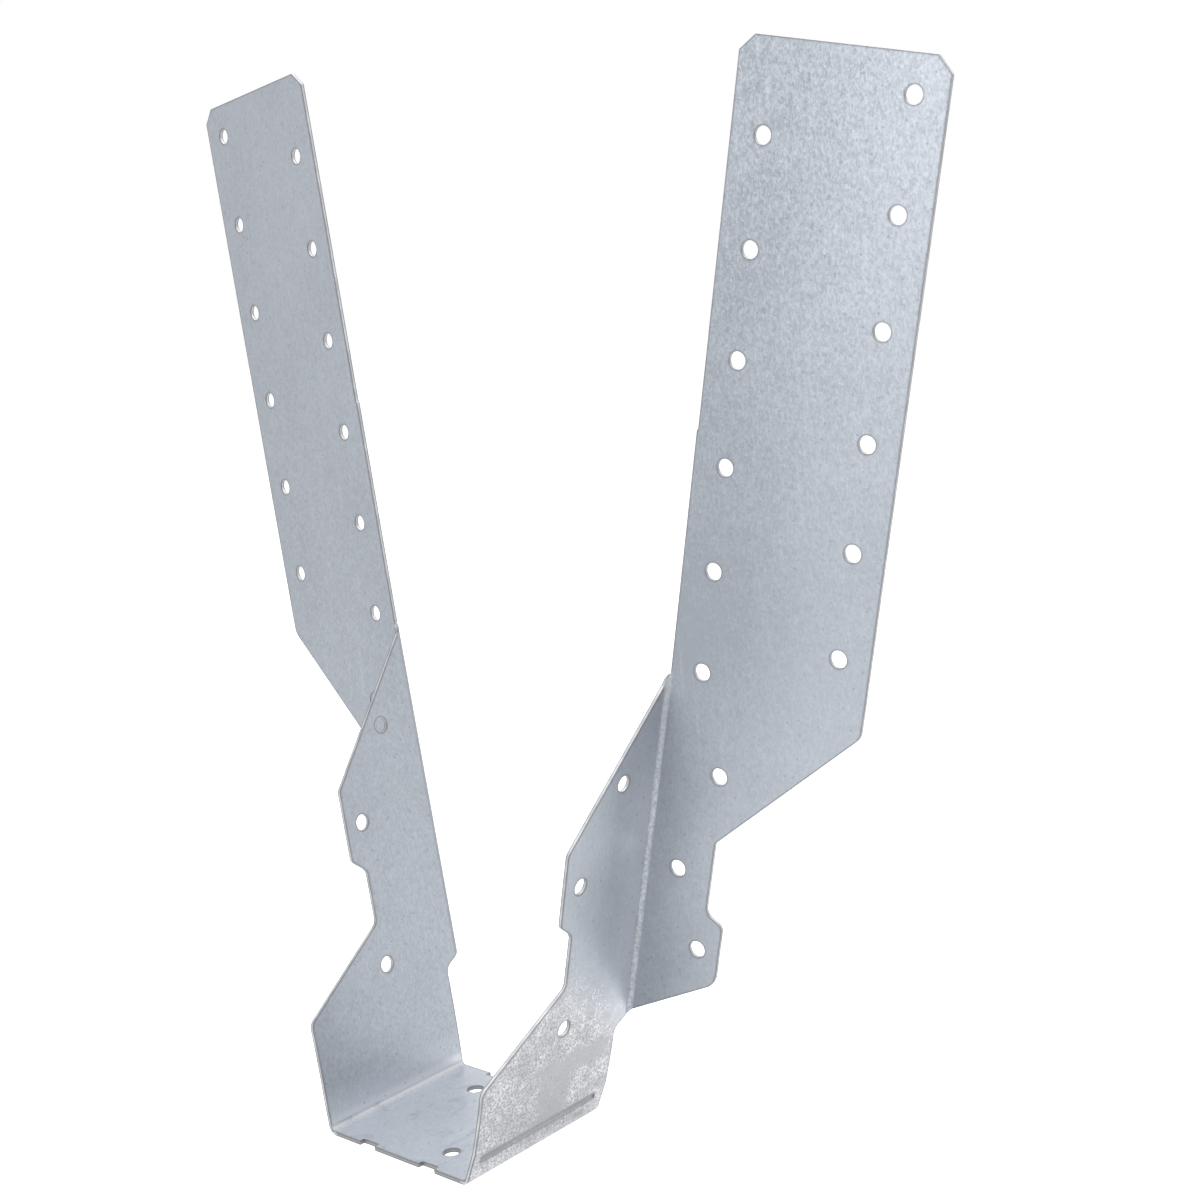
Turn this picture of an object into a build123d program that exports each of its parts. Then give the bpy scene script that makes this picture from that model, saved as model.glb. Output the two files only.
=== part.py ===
from build123d import *
import math
import os

# A long-leg joist hanger, folded from one sheet of galvanised steel.
# Millimetres and degrees. +X is to the right, +Y towards the header that carries
# the hanger, +Z up. The origin is the middle of the seat's underside.
# Heights "up the side" are measured along a side from the middle of the seat's
# sheet, and widths "across the flange" from the fold between side and flange.

# Sheet and seat
sheet = 1.0
inside_width = 48.5
seat_front = -22.1
seat_back = 24.7
seat_skew = 1.8
seat_bend_radius = 1.2
fold_radius = 1.2
blank_offset = 1.7

# How far each hand leans out, and how its lower strip leans before it straightens
right_splay = 13.6
left_splay = 7.2
right_strip_lean = 18.8
left_strip_lean = 4.0
strip_height = 20.0
strip_bow = 7.0
right_flange_turn = 81.3
left_flange_turn = 83.0

# Nail holes in the seat, on a diagonal
nail_hole = 4.2
seat_hole_left_x = -9.9
seat_hole_left_y = 15.5
seat_hole_right_x = 10.8
seat_hole_right_y = -13.7

# Pinch marks in the front and back edges of the seat
pinch_width = 5.6
pinch_depth = 1.4
pinch_centre = 10.9
pinch_radius = 0.7

# Side plates
fold_line = 30.0
strip_front = -21.8
strip_back = 25.3
strip_edge_height = 8.0
side_front = -22.5
side_back = 24.8
side_foot_top = 26.8
side_throat_top = 25.9
waist_front = 3.9
waist_low = 44.9
waist_high = 58.9
brow_front = -0.4
brow_low = 62.4
brow_high = 81.1
slope_top = 118.7
foot_radius = 3.0
waist_radius = 2.5
brow_radius = 2.2
shoulder_radius = 3.0
throat_radius = 3.0
side_hole_high_y = 17.2
side_hole_high = 94.7
side_hole_middle_y = 5.2
side_hole_middle = 71.5
side_hole_low_y = 4.8
side_hole_low = 33.5

# Flanges below the legs
flange_root = 28.8
flange_foot = 45.1
cheek = 23.2
cheek_high = 60.7
neck = 18.4
neck_low = 62.8
neck_high = 81.4
cheek_radius = 2.4
cheek_foot_radius = 4.5
neck_radius = 1.5
flange_hole_high_across = 17.2
flange_hole_high = 98.6
flange_hole_middle_across = 9.3
flange_hole_middle = 71.8
flange_hole_low_across = 17.3
flange_hole_low = 52.7

# Legs
leg_base = 120.0
leg_lean = 0.76
leg_inner = 1.3
leg_outer = 51.1
leg_step = 0.3
leg_step_height = 60.0
leg_chamfer = 3.6
leg_end_margin = 8.6
hip_drop = 1.8
hip_radius = 4.0
row_pitch = 25.0
row_count = 6
inner_column = 9.3
inner_first_row = 2.8
outer_column = 43.2

# Pressed line on the outer face of each side, just above the bend
groove_front = -19.6
groove_back = 21.3
groove_height = 5.4
groove_width = 1.6
groove_depth = 0.25

# How the hollow between slope and leg rises round the fold: shares of its height
hollow_half = 0.55
hollow_late = 0.88

# Lengths worked out from the sizes above
half_width = (inside_width + sheet) / 2
seat_bend_middle = seat_bend_radius + sheet / 2
fold_middle = fold_radius + sheet / 2
row_stagger = row_pitch / 2
leg_length = inner_first_row + row_stagger + (row_count - 1) * row_pitch + leg_end_margin
cutter = 6 * sheet
beyond = 2 * (leg_base + leg_length)


def outline(corners):
    """A closed face from (point, corner radius) pairs, 0 for a sharp corner."""
    points = [point for point, radius in corners]
    radii = [radius for point, radius in corners]
    return make_face(FilletPolyline(*points, radius=radii, close=True))


def seat_edge(base, x):
    """The y of a seat edge at x: the edges run a little askew across the seat."""
    return base - x * math.tan(math.radians(seat_skew))


def leg_point(across, height):
    """A point of the leg, which leans by leg_lean in the plane of its flange."""
    lean = math.radians(leg_lean)
    u = across * math.cos(lean) - height * math.sin(lean)
    s = leg_base + across * math.sin(lean) + height * math.cos(lean)
    return (u, s)


def flange_root_height(across):
    """The sloping bottom edge, which runs from the flange through the fold."""
    slope = (flange_foot - flange_root) / cheek
    return flange_root + slope * across


def side_slope_height(y):
    """The sloping top edge of a side, from its brow up to the fold."""
    slope = (slope_top - brow_high) / (fold_line - brow_front)
    return brow_high + slope * (y - brow_front)


def toward(angle, distance):
    """A step of distance, leaning by angle from upright: out, then up."""
    return Vector(distance * math.sin(math.radians(angle)), distance * math.cos(math.radians(angle)))


def strip_end(strip_lean):
    """Where the lower strip of a side ends and its straight upper part begins: out, then up."""
    return Vector(half_width, 0) + toward(strip_lean, strip_height)


def wing_place(splay, strip_lean):
    """Where the upright drawing of one side stands, for the right hand."""
    foot = strip_end(strip_lean) - toward(splay, strip_height)
    return Pos(foot.X, 0, foot.Y + sheet / 2) * Rot(0, splay, 0)


def bow_radius(splay, strip_lean):
    """The radius of the gentle bow between the strip and the straight part."""
    return strip_bow / math.tan(math.radians(abs(strip_lean - splay)) / 2)


def stirrup():
    """Seat, bends and both sides as one bent strip, far longer in Y than the hanger."""
    ends = []
    for splay, strip_lean in ((left_splay, left_strip_lean), (right_splay, right_strip_lean)):
        kink = strip_end(strip_lean)
        ends.append((kink, kink + toward(splay, leg_base)))
    (left_kink, left_top), (right_kink, right_top) = ends
    middle = FilletPolyline(
        (-left_top.X, left_top.Y),
        (-left_kink.X, left_kink.Y),
        (-half_width, 0),
        (half_width, 0),
        (right_kink.X, right_kink.Y),
        (right_top.X, right_top.Y),
        radius=[
            bow_radius(left_splay, left_strip_lean),
            seat_bend_middle,
            seat_bend_middle,
            bow_radius(right_splay, right_strip_lean),
        ],
    )
    return Pos(0, 0, sheet / 2) * extrude(Plane.XZ * trace(middle, sheet), 3 * fold_line, both=True)


def side_outline(rise, side, tangent, flat):
    """One side in the YZ plane, from below the seat up to the fold's tangent line."""
    edge_x = side * flat
    corners = [
        ((seat_edge(seat_front, edge_x), -cutter), 0),
        ((seat_edge(seat_front, edge_x), 0), 0),
        ((strip_front, strip_edge_height), 0),
        ((side_front, side_foot_top + rise), foot_radius),
        ((waist_front, waist_low + rise), waist_radius),
        ((waist_front, waist_high + rise), brow_radius),
        ((brow_front, brow_low + rise), brow_radius),
        ((brow_front, brow_high + rise), shoulder_radius),
        ((tangent, side_slope_height(tangent) + rise), 0),
        ((tangent, flange_root_height(tangent - fold_line) + rise), 0),
        ((side_back, side_throat_top + rise), throat_radius),
        ((strip_back, strip_edge_height), 0),
        ((seat_edge(seat_back, edge_x), 0), 0),
        ((seat_edge(seat_back, edge_x), -cutter), 0),
    ]
    return outline(corners)


def flange_plate(rise, setback):
    """Flange and leg as one flat plate in the XY plane: x across, y up."""
    step_below = leg_inner - leg_step
    corners = [
        ((setback, flange_root_height(setback) + rise), 0),
        ((cheek, flange_foot + rise), cheek_foot_radius),
        ((cheek, cheek_high + rise), cheek_radius),
        ((neck, neck_low + rise), cheek_radius),
        ((neck, neck_high + rise), neck_radius),
    ]
    leg = [
        (leg_point(leg_outer, -hip_drop), hip_radius),
        (leg_point(leg_outer, leg_length - leg_chamfer), 0),
        (leg_point(leg_outer - leg_chamfer, leg_length), 0),
        (leg_point(leg_inner + leg_chamfer, leg_length), 0),
        (leg_point(leg_inner, leg_length - leg_chamfer), 0),
        (leg_point(leg_inner, leg_step_height + leg_step), 0),
        (leg_point(step_below, leg_step_height), 0),
        (leg_point(step_below, 0), 0),
    ]
    corners += [((u, s + rise), radius) for (u, s), radius in leg]
    corners.append(((setback, leg_base + rise), 0))
    return extrude(outline(corners), sheet / 2, both=True)


def fold_trimmer(turn, setback, heights, reach):
    """A block that trims one end of the fold, with an edge along heights.

    Its edge is straight between radial sections at even steps round the fold,
    and it stretches from there by reach, up or down.
    """
    sections = []
    for step, height in enumerate(heights):
        angle = turn * step / (len(heights) - 1)
        radial = (-math.cos(math.radians(angle)), math.sin(math.radians(angle)), 0)
        centre = (fold_middle, fold_line - setback, height)
        upright = Plane(origin=centre, x_dir=radial, z_dir=Vector(radial).cross(Vector(0, 0, 1)))
        span = fold_middle + fold_radius
        sections.append(upright * Pos(fold_middle, reach / 2) * Rectangle(span, abs(reach)))
    return loft(sections, ruled=True)


def fold(turn, rise, setback):
    """The rounded fold between side and flange, trimmed to the blank's edges."""
    tangent = fold_line - setback
    middle = CenterArc((fold_middle, tangent), fold_middle, 180, -turn)
    root = [flange_root_height(-setback) + rise, flange_root_height(setback) + rise]
    slope_end = side_slope_height(tangent) + rise
    high = leg_base + rise
    climb = high - slope_end
    hollow = [slope_end, slope_end + hollow_half * climb, slope_end + hollow_late * climb, high, high]
    low = root[0] - cutter
    strip = Pos(0, 0, low) * extrude(trace(middle, sheet), high + cutter - low)
    strip -= fold_trimmer(turn, setback, hollow, climb + 2 * cutter)
    strip -= fold_trimmer(turn, setback, root, root[0] - root[1] - 2 * cutter)
    return strip


def nail_rows():
    """Centres of the leg's nail holes: an inner and an outer row, half a pitch apart."""
    for row in range(row_count):
        yield leg_point(inner_column, inner_first_row + row * row_pitch)
        yield leg_point(outer_column, inner_first_row + row_stagger + row * row_pitch)


def fold_and_flange(turn, rise, setback):
    """Fold, flange and leg for one hand, drawn upright and pierced."""
    bearing = math.radians(turn)
    flange_plane = Plane(
        origin=(0, fold_line, 0),
        x_dir=(math.sin(bearing), math.cos(bearing), 0),
        z_dir=(math.cos(bearing), -math.sin(bearing), 0),
    )
    flange = flange_plate(rise, setback)
    lower_holes = (
        (flange_hole_high_across, flange_hole_high),
        (flange_hole_middle_across, flange_hole_middle),
        (flange_hole_low_across, flange_hole_low),
    )
    for u, s in (*lower_holes, *nail_rows()):
        flange -= Pos(u, s + rise) * Cylinder(nail_hole / 2, cutter)
    return fold(turn, rise, setback) + flange_plane * flange


def pressed_line(strip_lean):
    """The shallow round groove on the outer face of a strip, for the right hand."""
    radius = (groove_width ** 2 / 4 + groove_depth ** 2) / (2 * groove_depth)
    bar = Rot(90, 0, 0) * Cylinder(radius, groove_back - groove_front)
    out = sheet / 2 - groove_depth + radius
    bar = Pos(out, (groove_front + groove_back) / 2, groove_height) * bar
    return Pos(half_width, 0, sheet / 2) * Rot(0, strip_lean, 0) * bar


def hand(strip, side):
    """One side with its fold, flange and leg, cut from the bent strip for the right hand."""
    if side > 0:
        splay, strip_lean, turn = right_splay, right_strip_lean, right_flange_turn
    else:
        splay, strip_lean, turn = left_splay, left_strip_lean, left_flange_turn
    rise = -side * blank_offset
    setback = fold_middle * math.tan(math.radians(turn / 2))
    flat = seat_flat(strip_lean)
    place = wing_place(splay, strip_lean)
    blank = side_outline(rise, side, fold_line - setback, flat)
    drill = Cylinder(nail_hole / 2, cutter)
    holes = (
        (side_hole_high_y, side_hole_high),
        (side_hole_middle_y, side_hole_middle),
        (side_hole_low_y, side_hole_low),
    )
    solid = strip & (Pos(flat + beyond / 2, 0, 0) * Box(beyond, beyond, beyond))
    solid &= place * extrude(Plane.YZ * blank, half_width, both=True)
    for y, s in holes:
        solid -= place * (Plane.YZ * Pos(y, s + rise) * drill)
    solid += place * fold_and_flange(turn, rise, setback)
    return solid - pressed_line(strip_lean)


def seat_flat(strip_lean):
    """Half the width over which the seat is flat, up to where a bend begins."""
    return half_width - seat_bend_middle * math.tan(math.radians(90 - strip_lean) / 2)


def seat(strip):
    """The flat of the seat, with its nail holes and pinch marks."""
    left = -seat_flat(left_strip_lean)
    right = seat_flat(right_strip_lean)
    plan = outline([
        ((left, seat_edge(seat_front, left)), 0),
        ((right, seat_edge(seat_front, right)), 0),
        ((right, seat_edge(seat_back, right)), 0),
        ((left, seat_edge(seat_back, left)), 0),
    ])
    solid = strip & extrude(plan, cutter, both=True)
    for x, y in ((seat_hole_left_x, seat_hole_left_y), (seat_hole_right_x, seat_hole_right_y)):
        solid -= Pos(x, y) * Cylinder(nail_hole / 2, cutter)
    for x in (-pinch_centre, pinch_centre):
        for base, inward in ((seat_front, 1), (seat_back, -1)):
            deep = seat_edge(base, x) + inward * pinch_depth
            mouth = deep - inward * cutter
            pinch = outline([
                ((x - pinch_width / 2, mouth), 0),
                ((x + pinch_width / 2, mouth), 0),
                ((x + pinch_width / 2, deep), pinch_radius),
                ((x - pinch_width / 2, deep), 0),
            ])
            solid -= extrude(pinch, cutter, both=True)
    return solid


def hanger():
    """The whole hanger: one folded sheet."""
    strip = stirrup()
    turned = mirror(strip, about=Plane.YZ)
    return seat(strip) + hand(strip, 1) + mirror(hand(turned, -1), about=Plane.YZ)


os.makedirs("parts", exist_ok=True)
export_step(hanger(), "parts/hanger.step")
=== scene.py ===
import math
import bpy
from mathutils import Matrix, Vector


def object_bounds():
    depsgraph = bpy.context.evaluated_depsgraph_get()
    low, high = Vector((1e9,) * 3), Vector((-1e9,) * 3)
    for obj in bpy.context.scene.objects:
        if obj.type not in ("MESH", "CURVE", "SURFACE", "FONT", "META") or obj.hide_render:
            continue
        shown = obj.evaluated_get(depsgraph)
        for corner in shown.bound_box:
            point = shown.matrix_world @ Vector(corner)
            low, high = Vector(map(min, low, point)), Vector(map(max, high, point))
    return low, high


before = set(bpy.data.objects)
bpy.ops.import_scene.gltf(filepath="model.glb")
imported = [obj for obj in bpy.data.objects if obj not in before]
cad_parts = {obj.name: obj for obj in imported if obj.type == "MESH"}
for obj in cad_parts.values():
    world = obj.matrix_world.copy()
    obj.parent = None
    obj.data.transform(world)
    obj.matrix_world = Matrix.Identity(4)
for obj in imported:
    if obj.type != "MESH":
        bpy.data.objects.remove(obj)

from types import SimpleNamespace

import bpy
import numpy as np
from mathutils import Matrix, Vector

cad_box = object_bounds()

# Camera, solved from the hole rows and edges of the hanger
EYE = Vector((0.341756, -0.314120, 0.212412))
LOOK = Vector((-0.6461210, 0.7507690, -0.1373807))
RIGHT = Vector((0.7625875, 0.6424412, -0.0756939))
IMAGE_SIDE = 1200.0
FOCAL_PIXELS = 1917.44
CENTRE_PIXEL = (629.24, 529.01)
SENSOR = 36.0

# The folded sheet, in millimetres and degrees, as the finish follows it
PER_METRE = 1000.0
RIGHT_HAND = dict(splay=13.6, strip_lean=18.8, flange_turn=81.3)
LEFT_HAND = dict(splay=7.2, strip_lean=4.0, flange_turn=83.0)
HALF_WIDTH = 24.75
SEAT_MIDDLE_Z = 0.5
STRIP_HEIGHT = 20.0
FOLD_Y = 30.0
SEAT_FLAT = 22.8
BEND_REACH = 2.0
FOLD_REACH = 1.5
FOLD_TOP = 119.0
LEG_FROM = 3.0
LEG_TO = 46.0

# Galvanised steel, as linear colours
ZINC_DARK = (0.217, 0.240, 0.269)
ZINC_LIGHT = (0.491, 0.524, 0.573)
GRAIN_DARK = (0.295, 0.297, 0.317)
# The grain's pale end is painted glints
GRAIN_GLINT = (0.700, 0.705, 0.728)
SHEAR_BRIGHT = (0.46, 0.47, 0.49)
SHEAR_GREY = (0.34, 0.35, 0.37)
# The dull shear colour is painted shade along the rolled edges
ROLLED_EDGE_SHADE = (0.125, 0.122, 0.128)
SEAT_SHEAR = (0.24, 0.24, 0.25)
# The groove grey is painted shade in the pressed line, and the scuff's own colour
GROOVE_SHADE_AND_SCUFF_GREY = (0.250, 0.253, 0.272)
SMEAR_GREY = (0.375, 0.378, 0.400)
# The bend and fold greys are painted shade, the upper bend colour painted light
BEND_INSIDE_SHADE = (0.250, 0.248, 0.258)
BEND_UPPER_LIGHT = (0.600, 0.610, 0.635)
FOLD_SHADE_GREY = (0.270, 0.285, 0.305)
RUB_PALE = (0.62, 0.65, 0.69)
SPECK = (0.20, 0.21, 0.24)
METALLIC = 0.5

# Spangle: crystals to the millimetre, their shares of the pattern, and how strongly it shows, graded up the
# right hand as painted sheen
CRYSTALS = 1.3
FINE_CRYSTALS = 2.4
CRYSTAL_SHARE = 0.20
FINE_SHARE = 0.48
STREAK_SHARE = 0.32
SPANGLE_SHEEN_LEFT = 0.36
SPANGLE_SHEEN_LOW = 0.26
SPANGLE_SHEEN_HIGH = 0.76

# Tone of the zinc, where 0 is dark and 1 is light
MIDDLE_TONE = 0.5
BLOTCH_SWING = 0.035
CLOUD_SWING = 0.065
# Painted shade lowers each leg, and painted light makes the seat paler
RIGHT_LEG_SHADE = 0.34
LEG_FOOT_PALER = 0.33
LEFT_LEG_SHADE = 0.15
SEAT_PAINTED_LIGHT = 0.13
# Painted light beside the seat's bends and the folds, where the plates shade each other
FILL_LIGHT_PALER = 0.48

# Lower part of the stirrup: heights up the side, and places along the seat
GRAIN_TOP = 53.0
GRAIN_FULL = 32.0
GRAIN_FALL = 0.7
GRAIN_FROM = 5.0
GROOVE_HEIGHT = 5.7
GROOVE_FRONT = -19.4
GROOVE_BACK = 21.4
SCUFF_PLACE = 16.0
SCUFF_HEIGHT = 2.3
BAND_HEIGHT = 20.4
BAND_FRONT = -4.0
BAND_BACK = 24.0
PATCH_PLACE = 4.0
PATCH_LOW = 3.0

# Strength of each mark, from 0 to 1
SMEAR_COVER = 0.85
# The upper bend's cover is painted light
UPPER_BEND_LIGHT_COVER = 0.62
SPECK_COVER = 0.60
SMUDGE_COVER = 0.34
RUB_COVER = 0.06
MARGIN_COVER = 0.65
# The hairline and rim covers are for painted shade at the rolled edges
EDGE_SHADE_COVER = 0.78
RIM_SHADE_COVER = 0.85

# Cut edges and relief, in metres
EDGE_ROLL = 0.0009
EDGE_MARGIN = 0.0014
RELIEF_DEPTH = 0.00006

# Studio
FLOOR_HALF_SIDE = 4.0
FLOOR_GAP = 0.0001
FLOOR_WHITE = 0.60
FLOOR_GLOW = 0.80
WORLD_LOW = 0.24
WORLD_HIGH = 0.58
HIGH_WINDOW = dict(place=(0.12, 0.10, 0.78), aim=(0.0, 0.0, 0.05), side=1.30, power=12.5)
FRONT_WINDOW = dict(place=(0.207, -0.58, 0.493), aim=(0.10, 0.04, 0.20), side=0.96, power=4.0)


class Finish:
    """The nodes of one material or world, put down and joined by short calls."""

    def __init__(self, owner):
        self.owner = owner
        owner.use_nodes = True
        self.tree = owner.node_tree
        self.tree.nodes.clear()

    def add(self, kind, **settings):
        node = self.tree.nodes.new(kind)
        for key, value in settings.items():
            setattr(node, key, value)
        return node

    def feed(self, socket, value):
        if isinstance(value, bpy.types.NodeSocket):
            self.tree.links.new(value, socket)
        else:
            socket.default_value = value

    def math(self, kind, *values, clamp=False):
        node = self.add("ShaderNodeMath", operation=kind, use_clamp=clamp)
        for socket, value in zip(node.inputs, values):
            self.feed(socket, value)
        return node.outputs[0]

    def chained(self, kind, values):
        """The values joined one after another by the same operation."""
        result = values[0]
        for value in values[1:]:
            result = self.math(kind, result, value)
        return result

    def times(self, *values):
        return self.chained("MULTIPLY", values)

    def plus(self, *values):
        return self.chained("ADD", values)

    def minus(self, first, second):
        return self.math("SUBTRACT", first, second)

    def largest(self, *values):
        return self.chained("MAXIMUM", values)

    def size_of(self, value):
        return self.math("ABSOLUTE", value)

    def rest_of(self, share):
        """What a share leaves of 1."""
        return self.math("SUBTRACT", 1.0, share)

    def away_from(self, value, centre):
        """How far a value is from centre, either way."""
        return self.size_of(self.minus(value, centre))

    def vector(self, kind, *values):
        node = self.add("ShaderNodeVectorMath", operation=kind)
        for socket, value in zip(node.inputs, values):
            self.feed(socket, value)
        return node.outputs["Value"] if kind == "DOT_PRODUCT" else node.outputs["Vector"]

    def scaled(self, vector, factor):
        node = self.add("ShaderNodeVectorMath", operation="SCALE")
        self.feed(node.inputs[0], vector)
        self.feed(node.inputs["Scale"], factor)
        return node.outputs["Vector"]

    def joined(self, *values):
        node = self.add("ShaderNodeCombineXYZ")
        for socket, value in zip(node.inputs, values):
            self.feed(socket, value)
        return node.outputs[0]

    def parts(self, vector):
        node = self.add("ShaderNodeSeparateXYZ")
        self.feed(node.inputs[0], vector)
        return list(node.outputs)

    def channels(self, colour):
        node = self.add("ShaderNodeSeparateColor")
        self.feed(node.inputs[0], colour)
        return list(node.outputs)

    def rise(self, value, low, high):
        """0 below low, 1 above high, a smooth step between; the other way round where low is above high."""
        node = self.add("ShaderNodeMapRange", interpolation_type="SMOOTHSTEP", clamp=True)
        self.feed(node.inputs["Value"], value)
        flip = low > high
        node.inputs["From Min"].default_value = high if flip else low
        node.inputs["From Max"].default_value = low if flip else high
        node.inputs["To Min"].default_value = 1.0 if flip else 0.0
        node.inputs["To Max"].default_value = 0.0 if flip else 1.0
        return node.outputs["Result"]

    def past(self, value, limit, soft=0.2):
        """1 past a limit and 0 short of it, with a soft step across it."""
        return self.rise(value, limit - soft, limit + soft)

    def short_of(self, value, limit, soft=0.2):
        """1 short of a limit and 0 past it, with a soft step across it."""
        return self.rise(value, limit + soft, limit - soft)

    def spread(self, value, low, high):
        """A number from 0 to 1 taken evenly to low to high."""
        node = self.add("ShaderNodeMapRange", clamp=True)
        self.feed(node.inputs["Value"], value)
        self.feed(node.inputs["To Min"], low)
        self.feed(node.inputs["To Max"], high)
        return node.outputs["Result"]

    def swing(self, noise, size):
        """A noise taken to either side of 0, by half of size each way."""
        return self.times(self.minus(self.rise(noise, 0.30, 0.70), 0.5), size)

    def noise(self, vector, scale, detail=2.0, roughness=0.5, distortion=0.0, output="Fac"):
        node = self.add("ShaderNodeTexNoise")
        self.feed(node.inputs["Vector"], vector)
        node.inputs["Scale"].default_value = scale
        node.inputs["Detail"].default_value = detail
        node.inputs["Roughness"].default_value = roughness
        node.inputs["Distortion"].default_value = distortion
        return node.outputs[output]

    def cells(self, vector, scale, output="Color", dimensions="3D"):
        node = self.add("ShaderNodeTexVoronoi", voronoi_dimensions=dimensions)
        self.feed(node.inputs["Vector"], vector)
        node.inputs["Scale"].default_value = scale
        return node.outputs[output]

    def edge_roll(self, radius, samples, normal):
        """How squarely the face rounded by radius still looks along its own normal: under 1 near an edge."""
        node = self.add("ShaderNodeBevel", samples=samples)
        node.inputs["Radius"].default_value = radius
        return self.vector("DOT_PRODUCT", node.outputs["Normal"], normal)

    def mix(self, factor, first, second):
        node = self.add("ShaderNodeMix", data_type="FLOAT")
        self.feed(node.inputs["Factor"], factor)
        self.feed(node.inputs["A"], first)
        self.feed(node.inputs["B"], second)
        return node.outputs["Result"]

    def blend(self, factor, first, second):
        node = self.add("ShaderNodeMix", data_type="RGBA", blend_type="MIX")
        self.feed(node.inputs[0], factor)
        for socket, value in ((node.inputs[6], first), (node.inputs[7], second)):
            if isinstance(value, tuple):
                value = (*value[:3], 1.0)
            self.feed(socket, value)
        return node.outputs[2]


def hand_frame(splay, strip_lean, flange_turn):
    """Points and directions of one hand, drawn as a right one: (point, direction) for each measure.

    Out of the side and up along it, out of the lower strip, and out of the flange's front and across it.
    The foot is where the side's straight upper part would meet the seat's middle plane.
    """
    a = math.radians(splay)
    low = math.radians(strip_lean)
    b = math.radians(flange_turn)
    out = Vector((math.cos(a), 0.0, -math.sin(a)))
    up = Vector((math.sin(a), 0.0, math.cos(a)))
    strip_out = Vector((math.cos(low), 0.0, -math.sin(low)))
    strip_up = Vector((math.sin(low), 0.0, math.cos(low)))
    back = Vector((0.0, 1.0, 0.0))
    corner = Vector((HALF_WIDTH, 0.0, SEAT_MIDDLE_Z))
    foot = corner + STRIP_HEIGHT * (strip_up - up)
    fold = foot + FOLD_Y * back
    return {
        "depth": (foot, out),
        "height": (foot, up),
        "strip_depth": (corner, strip_out),
        "flange_depth": (fold, math.cos(b) * out - math.sin(b) * back),
        "across": (fold, math.sin(b) * out + math.cos(b) * back),
    }


class Sheet:
    """Where each point lies on the folded sheet, as node outputs: millimetres, and shares from 0 to 1.

    Both hands are read as a right one, so what lies on the left is mirrored first.
    """

    def __init__(self, f):
        self.f = f
        self.place = f.scaled(f.add("ShaderNodeTexCoord").outputs["Object"], PER_METRE)
        self.normal = f.add("ShaderNodeNewGeometry").outputs["True Normal"]
        self.x, self.y, self.z = f.parts(self.place)
        face_x, self.face_y, self.face_z = f.parts(self.normal)
        self.right = f.math("GREATER_THAN", self.x, 0.0)
        sign = f.minus(f.times(self.right, 2.0), 1.0)
        self.mirrored = f.joined(f.times(sign, self.x), self.y, self.z)
        self.mirrored_normal = f.joined(f.times(sign, face_x), self.face_y, self.face_z)
        self.hands = (hand_frame(**LEFT_HAND), hand_frame(**RIGHT_HAND))
        self.height = self.measure("height")
        self.across = self.measure("across")
        self.find_plates()
        self.find_depth()
        self.find_sheared()
        self.find_bends()

    def measure(self, name):
        """How far this point lies along one of its hand's directions, from that direction's start."""
        reaches = []
        for hand in self.hands:
            start, direction = hand[name]
            reach = self.f.vector("DOT_PRODUCT", self.mirrored, tuple(direction))
            reaches.append(self.f.minus(reach, start.dot(direction)))
        return self.f.mix(self.right, *reaches)

    def facing_along(self, name):
        """How squarely this point's face looks along one of its hand's directions, either way."""
        directions = [tuple(hand[name][1]) for hand in self.hands]
        pair = [self.f.vector("DOT_PRODUCT", self.mirrored_normal, direction) for direction in directions]
        return self.f.size_of(self.f.mix(self.right, *pair))

    def find_plates(self):
        """Which plate or bend of the sheet a point is on."""
        f = self.f
        behind = f.past(self.y, FOLD_Y - FOLD_REACH)
        leg_edge = f.times(behind, f.past(self.height, FOLD_TOP, 0.5))
        self.on_flange = f.largest(f.past(self.across, FOLD_REACH), leg_edge)
        self.off_flange = f.rest_of(self.on_flange)
        self.in_fold = f.times(behind, self.off_flange)
        self.on_seat = f.short_of(self.height, BEND_REACH)
        self.off_seat = f.rest_of(self.on_seat)
        self.on_flat = f.short_of(f.size_of(self.x), SEAT_FLAT)

    def find_depth(self):
        """How far out of the sheet's middle a point is, and whether it is on the outer or the inner face."""
        f = self.f
        on_strip = f.short_of(self.height, STRIP_HEIGHT, 1.0)
        side_depth = f.mix(on_strip, self.measure("depth"), self.measure("strip_depth"))
        seat_depth = f.largest(side_depth, f.minus(SEAT_MIDDLE_Z, self.z))
        depth = f.mix(self.on_seat, side_depth, seat_depth)
        self.depth = f.mix(self.on_flange, depth, self.measure("flange_depth"))
        self.outer = f.rise(self.depth, -0.35, -0.25)
        self.inner = f.rest_of(self.outer)

    def find_sheared(self):
        """Sheared faces: those that look along the sheet, not out of it."""
        f = self.f
        end_face = f.size_of(self.face_y)
        hole_face = f.rest_of(f.size_of(self.face_z))
        seat_sheared = f.mix(self.on_flat, end_face, hole_face)
        sheared = f.mix(self.on_seat, f.rest_of(self.facing_along("depth")), seat_sheared)
        sheared = f.mix(self.in_fold, sheared, self.facing_along("height"))
        sheared = f.mix(self.on_flange, sheared, f.rest_of(self.facing_along("flange_depth")))
        self.sheared = f.rise(sheared, 0.25, 0.45)

    def find_bends(self):
        """The inside of the seat's bends, and all stretched zinc."""
        f = self.f
        low = f.rise(self.height, BEND_REACH + 0.2, BEND_REACH - 0.6)
        far_out = f.rise(f.size_of(self.x), HALF_WIDTH - 1.6, HALF_WIDTH - 0.9)
        self.bend_line = f.times(low, far_out, self.inner)
        self.stretched = f.largest(self.bend_line, self.in_fold)


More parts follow.
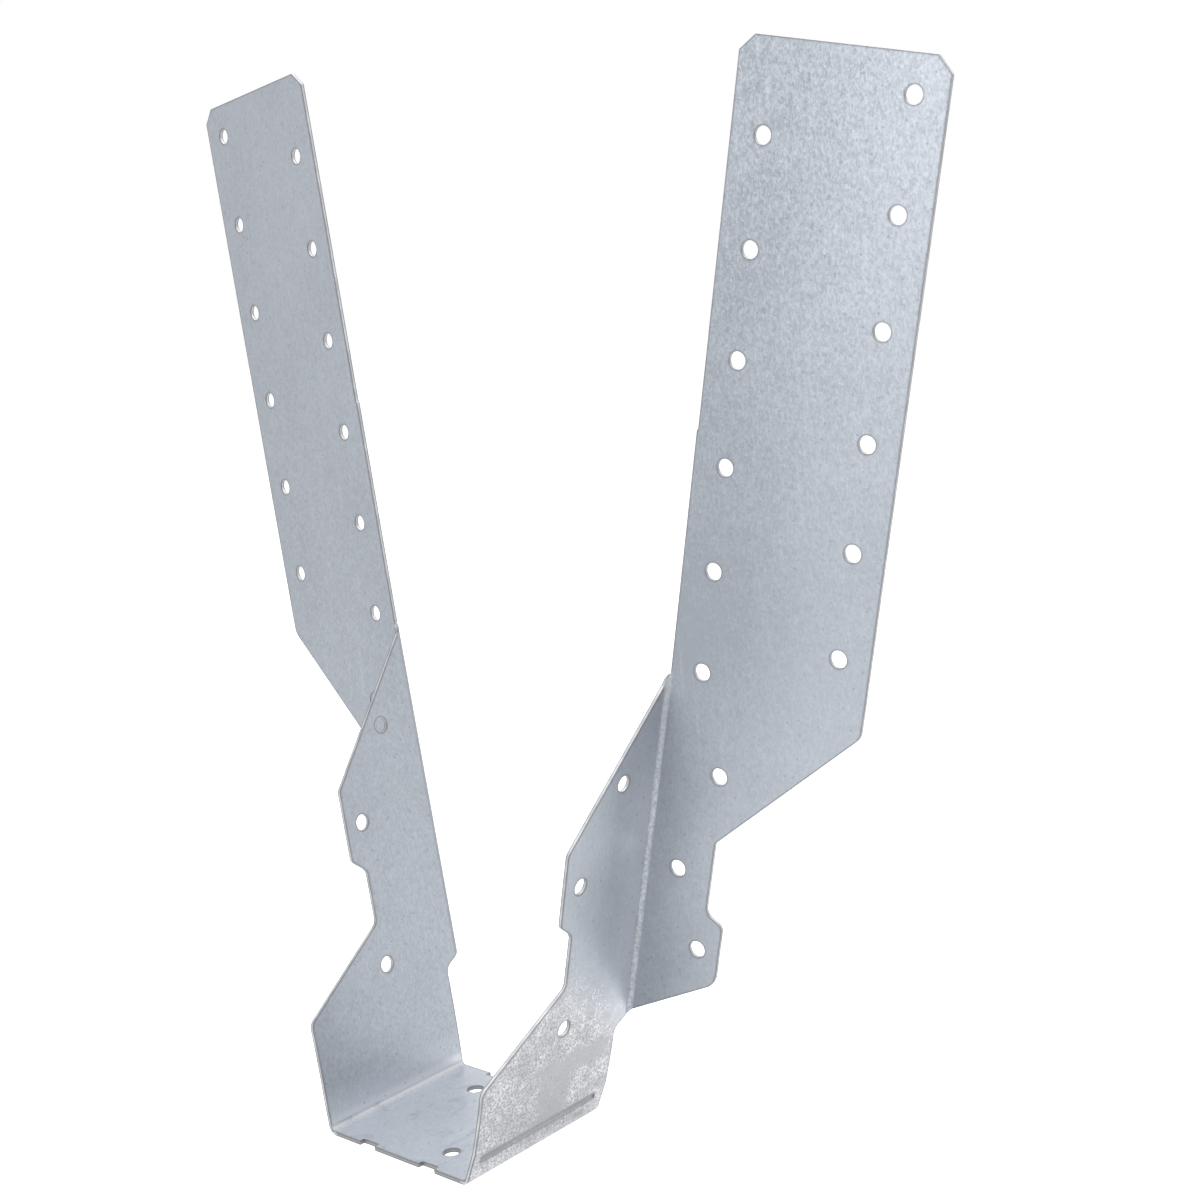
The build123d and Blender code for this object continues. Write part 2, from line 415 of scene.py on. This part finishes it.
def spangle(f, sheet):
    """Crystals in two sizes, drawn out a little up the sheet, with fine streaks between them.

    Gives the tone's swing to either side, and the larger crystals' numbers for gloss and relief.
    """
    drawn = f.vector("MULTIPLY", sheet.place, (1.0, 1.0, 0.60))
    wander = f.vector("SUBTRACT", f.noise(sheet.place, 0.9, output="Color"), (0.5, 0.5, 0.5))
    wavy = f.vector("ADD", drawn, f.scaled(wander, 1.6))
    crystal = f.channels(f.cells(wavy, CRYSTALS))
    fine = f.channels(f.cells(wavy, FINE_CRYSTALS))
    streak = f.noise(f.vector("MULTIPLY", sheet.place, (1.0, 1.0, 0.36)), 2.3, 2.0, 0.6)
    streak = f.rise(streak, 0.30, 0.70)
    flake = f.plus(
        f.times(crystal[0], CRYSTAL_SHARE), f.times(fine[0], FINE_SHARE), f.times(streak, STREAK_SHARE))
    # Painted sheen: the crystals show more strongly higher up the right hand than on the left
    sheen_marked = f.spread(f.rise(sheet.z, 110.0, 260.0), SPANGLE_SHEEN_LOW, SPANGLE_SHEEN_HIGH)
    sheen_marked = f.mix(sheet.right, SPANGLE_SHEEN_LEFT, sheen_marked)
    return f.times(f.minus(flake, 0.5), sheen_marked), crystal


def painted_fill_light(f, sheet):
    """Painted light where the plates shade each other: on the inner faces beside the seat's bends, and on
    the outer faces beside the folds.
    """
    foot = f.times(f.rise(sheet.height, 13.0, 2.5), sheet.inner, sheet.off_seat)
    foot = f.times(foot, f.spread(f.rise(sheet.y, 22.0, -14.0), 0.35, 1.0))
    by_fold = f.times(f.rise(sheet.y, 16.0, 28.0), sheet.off_flange, sheet.outer)
    by_fold = f.times(by_fold, f.rise(sheet.height, 110.0, 80.0))
    return f.largest(foot, by_fold)


def plate_light_and_shade(f, sheet):
    """How much lighter or darker the zinc is on each plate of the sheet, and along the legs: painted light
    and shade.
    """
    # Painted highlight: the right leg paler away from the fold and higher up
    painted_light_across_leg = f.spread(f.rise(sheet.across, LEG_FROM, LEG_TO), -0.15, 0.12)
    painted_light_up_leg = f.spread(f.rise(sheet.z, 60.0, 260.0), -0.08, 0.23)
    leg_foot = f.times(f.rise(sheet.z, 130.0, 50.0), LEG_FOOT_PALER)
    # Painted shade lowers the right leg
    right_half = f.minus(f.plus(painted_light_across_leg, painted_light_up_leg, leg_foot), RIGHT_LEG_SHADE)
    # Painted light: the left hand paler higher up, and painted shade lowering its leg
    left_half = f.spread(f.rise(sheet.z, 90.0, 250.0), -0.11, 0.10)
    left_half = f.minus(left_half, f.times(sheet.on_flange, LEFT_LEG_SHADE))
    level = f.mix(sheet.right, f.times(left_half, sheet.off_seat), f.times(right_half, sheet.on_flange))
    # Painted light from above makes the seat paler
    return f.plus(level, f.times(sheet.on_seat, SEAT_PAINTED_LIGHT))


def low_grain(f, sheet):
    """Coarse grain low on the outer faces, its pale grains painted glints, which thins out to single grains
    along a sloping top.

    Gives where it covers the sheet, its noise, its larger patches and the tone of its grains.
    """
    coarse = f.noise(sheet.place, 1.9, 3.0, 0.75, 0.2)
    fall = f.times(f.minus(sheet.y, GRAIN_FROM), GRAIN_FALL)
    fringe = f.plus(sheet.height, fall, f.spread(f.noise(sheet.place, 0.10, 2.0, 0.5), -3.0, 3.0))
    cover = f.minus(f.rise(fringe, GRAIN_TOP, GRAIN_FULL), f.rise(coarse, 0.68, 0.34))
    cover = f.times(f.rise(cover, -0.08, 0.06), sheet.outer, f.rise(sheet.y, 28.6, 27.0))
    cover = f.times(cover, sheet.off_flange, f.rest_of(sheet.sheared))
    patch = f.rise(f.noise(sheet.place, 0.20, 3.0, 0.6), 0.38, 0.62)
    tone = f.times(f.rise(coarse, 0.40, 0.60), f.spread(patch, 0.55, 1.0))
    # Painted glints: the grains paler towards the bottom and palest at the foot of the side
    tone = f.times(tone, f.spread(f.rise(sheet.height, 10.0, 26.0), 1.0, 0.84))
    tone = f.math("ADD", tone, f.times(f.rise(sheet.height, 5.0, 1.0), 0.25), clamp=True)
    return SimpleNamespace(cover=cover, coarse=coarse, patch=patch, tone=tone)


def smear(f, sheet, grain):
    """Grain rubbed smooth: a band and a patch below it on the right, a light rub on the left."""
    waver = f.spread(f.noise(sheet.place, 0.22, 3.0, 0.65), -3.5, 3.5)
    band = f.size_of(f.plus(f.minus(sheet.height, BAND_HEIGHT), waver))
    band = f.times(f.rise(band, 3.9, 2.2), f.rise(sheet.y, BAND_FRONT - 4.0, BAND_FRONT + 5.0))
    band = f.times(band, f.rise(sheet.y, BAND_BACK + 1.0, BAND_BACK - 3.0))
    patch = f.size_of(f.plus(f.minus(sheet.y, PATCH_PLACE), f.times(waver, 1.3)))
    patch = f.times(f.rise(patch, 8.0, 3.5), f.rise(sheet.height, PATCH_LOW, PATCH_LOW + 2.0))
    patch = f.times(patch, f.rise(sheet.height, BAND_HEIGHT + 3.0, BAND_HEIGHT))
    light_rub = f.times(f.rise(f.noise(sheet.place, 0.11, 3.0, 0.6, 0.5), 0.50, 0.62), 0.6)
    rubbed = f.mix(sheet.right, light_rub, f.largest(patch, band))
    return f.times(rubbed, grain.cover, SMEAR_COVER)


def pressed_line_shade_and_scuff(f, sheet, grain):
    """The pressed line, rubbed smooth, with painted shade in its groove that is darker towards its ends, and
    a scuff below it.
    """
    # Painted shade in the pressed groove, darker towards its ends
    line = f.rise(f.away_from(sheet.height, GROOVE_HEIGHT), 1.5, 0.7)
    line = f.times(line, f.past(sheet.y, GROOVE_FRONT, 0.3), f.short_of(sheet.y, GROOVE_BACK, 0.3))
    ends = f.rise(f.away_from(sheet.y, 1.0), 4.0, 17.0)
    line = f.times(line, grain.cover, f.spread(ends, 0.45, 0.95))
    scuff = f.rise(f.away_from(sheet.y, SCUFF_PLACE), 3.2, 1.2)
    scuff = f.times(scuff, f.rise(f.away_from(sheet.height, SCUFF_HEIGHT), 1.2, 0.4))
    scuff = f.times(scuff, grain.cover, f.spread(grain.patch, 0.5, 0.8))
    return f.largest(line, scuff)


def bent_colour(f, sheet, colour):
    """Mottled zinc inside the seat's bends and round the folds, darkened as painted shade, and a pale line
    of painted light up from the bends.
    """
    mottle = f.rise(f.noise(sheet.place, 1.3, 3.0, 0.7), 0.40, 0.62)
    # Painted shade: darker mottled zinc inside the seat's bends and round the folds
    colour = f.blend(f.times(sheet.bend_line, f.spread(mottle, 0.55, 0.85)), colour, BEND_INSIDE_SHADE)
    colour = f.blend(f.times(sheet.in_fold, f.spread(mottle, 0.85, 0.25)), colour, FOLD_SHADE_GREY)
    # Painted light over the bends' upper part, where their shading falls
    above = f.times(f.rise(sheet.height, 0.5, 1.2), f.rise(sheet.height, 4.8, 2.4))
    above = f.times(above, sheet.inner, sheet.off_flange)
    return f.blend(f.times(above, UPPER_BEND_LIGHT_COVER), colour, BEND_UPPER_LIGHT)


def handled_colour(f, sheet, colour):
    """Handling specks, smudges on the seat, and faint rubs drawn up the sheet.

    The specks lie on a flat map of the sheet, its plates drawn apart, so that none is cut by the surface.
    """
    along = f.mix(sheet.on_flange, sheet.y, f.plus(sheet.across, 200.0))
    upward = f.mix(sheet.on_seat, sheet.height, f.plus(f.size_of(sheet.x), 400.0))
    dots = f.cells(f.joined(along, upward, f.times(sheet.right, 500.0)), 0.20, "Distance", "2D")
    speck = f.times(f.rise(dots, 0.080, 0.035), f.rise(f.noise(sheet.place, 0.30, 2.0), 0.42, 0.56))
    colour = f.blend(f.times(speck, SPECK_COVER), colour, SPECK)
    smudge = f.noise(f.vector("MULTIPLY", sheet.place, (1.4, 0.8, 1.0)), 0.14, 4.0, 0.65, 0.6)
    smudge = f.times(f.rise(smudge, 0.55, 0.68), sheet.on_seat, sheet.inner)
    colour = f.blend(f.times(smudge, SMUDGE_COVER), colour, SPECK)
    rub = f.noise(f.vector("MULTIPLY", sheet.place, (1.0, 1.0, 0.06)), 0.55, 3.0, 0.6)
    return f.blend(f.times(f.rise(rub, 0.58, 0.72), RUB_COVER), colour, RUB_PALE)


def edged_colour(f, sheet, grain, colour):
    """Cut edges, with a smooth margin in the grain and a dark hairline of painted shade where the punch drew
    the face down.

    The sheared faces have a bright torn line between rolled rims darkened as painted shade.
    """
    margin = f.rise(f.edge_roll(EDGE_MARGIN, 4, sheet.normal), 0.998, 0.960)
    colour = f.blend(f.times(margin, grain.cover, MARGIN_COVER), colour, SMEAR_GREY)
    # Painted shade: a dark hairline along each face's rolled edge
    edge_shade = f.rise(f.edge_roll(EDGE_ROLL, 6, sheet.normal), 0.990, 0.940)
    edge_shade = f.times(edge_shade, f.rest_of(sheet.stretched), EDGE_SHADE_COVER)
    colour = f.blend(edge_shade, colour, ROLLED_EDGE_SHADE)
    torn = f.blend(f.rise(f.noise(sheet.place, 0.22, 2.0), 0.35, 0.65), SHEAR_GREY, SHEAR_BRIGHT)
    torn = f.blend(f.times(sheet.on_flat, sheet.on_seat), torn, SEAT_SHEAR)
    # Painted shade on the sheared faces' rolled rims
    rim_shade = f.rise(f.size_of(sheet.depth), 0.14, 0.38)
    return f.blend(sheet.sheared, colour, f.blend(f.times(rim_shade, RIM_SHADE_COVER), torn, ROLLED_EDGE_SHADE))


def satin(f, sheet, grain, crystal, blotch):
    """Roughness: each crystal its own, the grain duller, bends and sheared faces duller still."""
    rough = f.plus(f.spread(crystal[1], 0.31, 0.42), f.spread(blotch, -0.03, 0.05))
    rough = f.mix(grain.cover, rough, f.spread(grain.tone, 0.55, 0.38))
    rough = f.mix(sheet.stretched, rough, 0.60)
    return f.mix(sheet.sheared, rough, 0.50)


def relief(f, sheet, grain, crystal, blotch):
    """Bump: crystals at slightly different levels, fine grain, slow blotches and the coarse grain."""
    fine_grain = f.noise(sheet.place, 2.6, 2.0, 0.6)
    level = f.plus(f.times(crystal[2], 0.35), f.times(fine_grain, 0.30), f.times(blotch, 0.6))
    level = f.plus(level, f.times(grain.cover, grain.coarse, 1.6))
    bump = f.add("ShaderNodeBump")
    bump.inputs["Strength"].default_value = 0.35
    bump.inputs["Distance"].default_value = RELIEF_DEPTH
    f.feed(bump.inputs["Height"], level)
    return bump.outputs["Normal"]


def galvanised_sheet():
    """Satin zinc with fine spangle, pale bends, sheared edges and coarse grain low on the outer faces, with
    painted light and shade on the legs, bends, folds, edges, groove and grain.
    """
    f = Finish(bpy.data.materials.new("galvanised_sheet"))
    sheet = Sheet(f)
    flakes, crystal = spangle(f, sheet)
    blotch = f.noise(sheet.place, 0.28, 3.0, 0.6, 0.4)
    cloud = f.noise(sheet.place, 0.035, 3.0, 0.55)
    tone = f.plus(MIDDLE_TONE, flakes, f.swing(blotch, BLOTCH_SWING), f.swing(cloud, CLOUD_SWING))
    # Painted light and shade: each plate's level and gradients, and the lift beside the bends and folds
    tone = f.plus(tone, plate_light_and_shade(f, sheet), f.times(painted_fill_light(f, sheet), FILL_LIGHT_PALER))
    colour = f.blend(tone, ZINC_DARK, ZINC_LIGHT)
    grain = low_grain(f, sheet)
    colour = f.blend(grain.cover, colour, f.blend(grain.tone, GRAIN_DARK, GRAIN_GLINT))
    colour = f.blend(smear(f, sheet, grain), colour, SMEAR_GREY)
    colour = f.blend(pressed_line_shade_and_scuff(f, sheet, grain), colour, GROOVE_SHADE_AND_SCUFF_GREY)
    colour = bent_colour(f, sheet, colour)
    colour = handled_colour(f, sheet, colour)
    colour = edged_colour(f, sheet, grain, colour)

    shader = f.add("ShaderNodeBsdfPrincipled")
    shader.inputs["Metallic"].default_value = METALLIC
    f.feed(shader.inputs["Base Color"], colour)
    f.feed(shader.inputs["Roughness"], satin(f, sheet, grain, crystal, blotch))
    f.feed(shader.inputs["Normal"], relief(f, sheet, grain, crystal, blotch))
    out = f.add("ShaderNodeOutputMaterial")
    f.feed(out.inputs["Surface"], shader.outputs[0])
    return f.owner


def seen_directly(f):
    """1 for rays from the camera, in reflections and through glass, 0 for the light on the object."""
    path = f.add("ShaderNodeLightPath").outputs
    seen = f.plus(path["Is Camera Ray"], path["Is Glossy Ray"])
    return f.math("ADD", seen, path["Is Transmission Ray"], clamp=True)


def pale_floor():
    """White board that keeps a soft shadow: a pale diffuse face, with white of its own where it is seen."""
    f = Finish(bpy.data.materials.new("pale_floor"))
    face = f.add("ShaderNodeBsdfDiffuse")
    face.inputs["Color"].default_value = (FLOOR_WHITE, FLOOR_WHITE, FLOOR_WHITE, 1.0)
    glow = f.add("ShaderNodeEmission")
    f.feed(glow.inputs["Strength"], f.times(seen_directly(f), FLOOR_GLOW))
    both = f.add("ShaderNodeAddShader")
    f.feed(both.inputs[0], face.outputs[0])
    f.feed(both.inputs[1], glow.outputs[0])
    out = f.add("ShaderNodeOutputMaterial")
    f.feed(out.inputs["Surface"], both.outputs[0])
    return f.owner


def floor_board(level, half_side):
    """A square of the plane z = level: four corners at half_side times (-1 or 1, -1 or 1), in one face."""
    grid = np.array([(-1.0, -1.0), (1.0, -1.0), (1.0, 1.0), (-1.0, 1.0)]) * half_side
    corners = np.column_stack([grid, np.full(4, level)])
    mesh = bpy.data.meshes.new("floor_board")
    mesh.from_pydata(corners.tolist(), [], [(0, 1, 2, 3)])
    board = bpy.data.objects.new("floor_board", mesh)
    bpy.context.scene.collection.objects.link(board)
    board.data.materials.append(pale_floor())


def soft_lamp(name, place, aim, side, power):
    """A square lamp of a given side in metres, with its face towards aim."""
    data = bpy.data.lights.new(name, "AREA")
    data.shape = "SQUARE"
    data.size = side
    data.energy = power
    lamp = bpy.data.objects.new(name, data)
    lamp.location = place
    lamp.rotation_mode = "QUATERNION"
    lamp.rotation_quaternion = (Vector(aim) - Vector(place)).to_track_quat("-Z", "Y")
    bpy.context.scene.collection.objects.link(lamp)


def studio_world():
    """White where it is seen; the light it gives is a little stronger from above than from below."""
    f = Finish(bpy.data.worlds.new("studio_world"))
    upward = f.parts(f.add("ShaderNodeTexCoord").outputs["Generated"])[2]
    sky = f.spread(f.rise(upward, -0.6, 0.9), WORLD_LOW, WORLD_HIGH)
    ground = f.add("ShaderNodeBackground")
    ground.inputs["Color"].default_value = (1.0, 1.0, 1.0, 1.0)
    f.feed(ground.inputs["Strength"], f.mix(seen_directly(f), sky, 1.0))
    out = f.add("ShaderNodeOutputWorld")
    f.feed(out.inputs["Surface"], ground.outputs[0])
    bpy.context.scene.world = f.owner


def photo_camera():
    """The camera at the photograph's eye, with its focal length and centre as lens and shift."""
    data = bpy.data.cameras.new("photo_camera")
    data.sensor_width = SENSOR
    data.lens = FOCAL_PIXELS / IMAGE_SIDE * SENSOR
    data.shift_x = (IMAGE_SIDE / 2 - CENTRE_PIXEL[0]) / IMAGE_SIDE
    data.shift_y = (CENTRE_PIXEL[1] - IMAGE_SIDE / 2) / IMAGE_SIDE
    data.clip_start = 0.01
    data.clip_end = 20.0
    camera = bpy.data.objects.new("photo_camera", data)
    up = RIGHT.cross(LOOK)
    turn = Matrix((RIGHT, up, -LOOK)).transposed().to_4x4()
    camera.matrix_world = Matrix.Translation(EYE) @ turn
    bpy.context.scene.collection.objects.link(camera)
    bpy.context.scene.camera = camera


photo_camera()
studio_world()
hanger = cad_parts["hanger"]
hanger.data.materials.clear()
hanger.data.materials.append(galvanised_sheet())
floor_board(cad_box[0].z - FLOOR_GAP, FLOOR_HALF_SIDE)
soft_lamp("high_window", **HIGH_WINDOW)
soft_lamp("front_window", **FRONT_WINDOW)

bpy.context.scene.view_settings.view_transform = "Standard"
